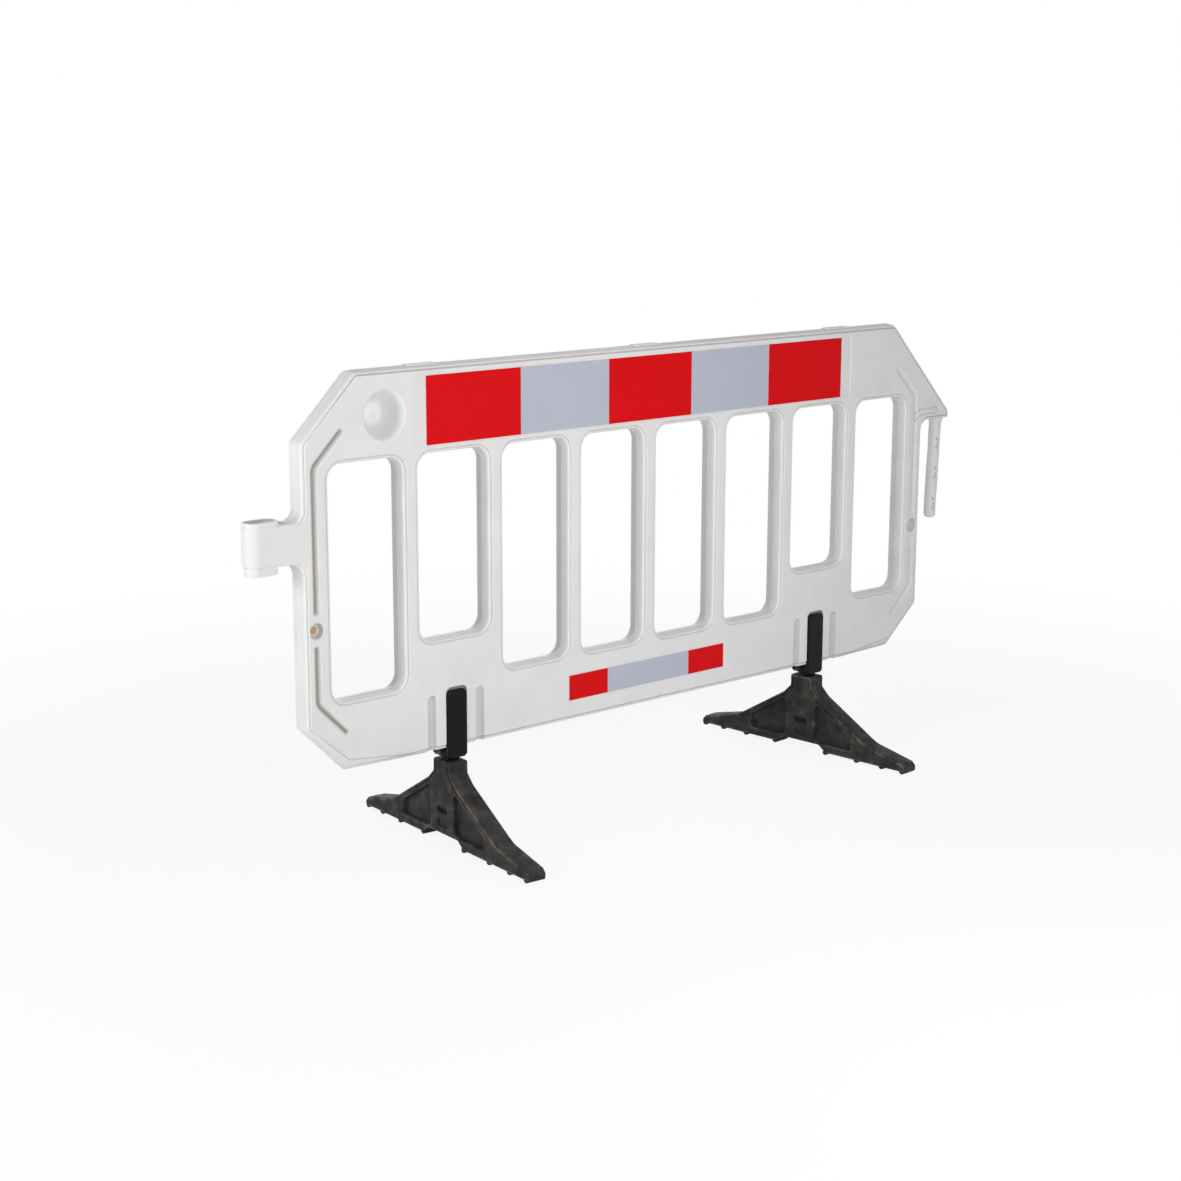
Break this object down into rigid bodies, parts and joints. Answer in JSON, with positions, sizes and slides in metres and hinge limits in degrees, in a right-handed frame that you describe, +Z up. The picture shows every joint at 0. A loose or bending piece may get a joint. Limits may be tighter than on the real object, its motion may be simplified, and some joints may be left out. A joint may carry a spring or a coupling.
{
  "type": "pedestrian barrier panel",
  "caption": "Hollow moulded barrier panel with windows, reflective strips, a coupling socket and pin at its ends, and feet that swivel under clips for stacking.",
  "frame": {"origin": "on the floor under the middle of the whole length, in the panel's middle plane", "axes": "+X along the panel towards the coupling pin, -Y out of the front face, +Z up"},
  "size_m": [1.995, 0.6118, 0.9905],
  "materials": {
    "panel_plastic": "satin moulded white polyethylene",
    "plug_plastic": "tan plastic",
    "red_film": "red reflective film",
    "silver_film": "silver reflective film",
    "clip_plastic": "gloss black plastic",
    "foot_rubber": "dark recycled rubber",
    "bolt_steel": "zinc plated steel"
  },
  "bodies": {
    "panel": {"panel_shell": "panel_plastic", "coupling_socket": "panel_plastic", "coupling_pin": "panel_plastic", "blow_plug": "plug_plastic", "film_front_1": "red_film", "film_front_2": "silver_film", "film_front_3": "red_film", "film_front_4": "silver_film", "film_front_5": "red_film", "film_front_low_1": "red_film", "film_front_low_2": "silver_film", "film_front_low_3": "red_film", "film_back_1": "red_film", "film_back_2": "silver_film", "film_back_3": "red_film", "film_back_4": "silver_film", "film_back_5": "red_film", "film_back_low_1": "red_film", "film_back_low_2": "silver_film", "film_back_low_3": "red_film", "clip_left": "clip_plastic", "clip_right": "clip_plastic", "swivel_bolt_left": "bolt_steel", "swivel_bolt_right": "bolt_steel", "swivel_washer_left": "bolt_steel", "swivel_washer_right": "bolt_steel"},
    "left_foot": {"foot_left": "foot_rubber"},
    "right_foot": {"foot_right": "foot_rubber"}
  },
  "joints": [
    {"name": "left_foot_swivel", "type": "hinge", "parent": "panel", "child": "left_foot", "pos_m": [-0.5215, 0, 0.178], "axis": [0, 0, 1], "range_deg": [-85.5, 94.5]},
    {"name": "right_foot_swivel", "type": "hinge", "parent": "panel", "child": "right_foot", "pos_m": [0.5365, 0, 0.178], "axis": [0, 0, 1], "range_deg": [-94.5, 85.5]}
  ]
}
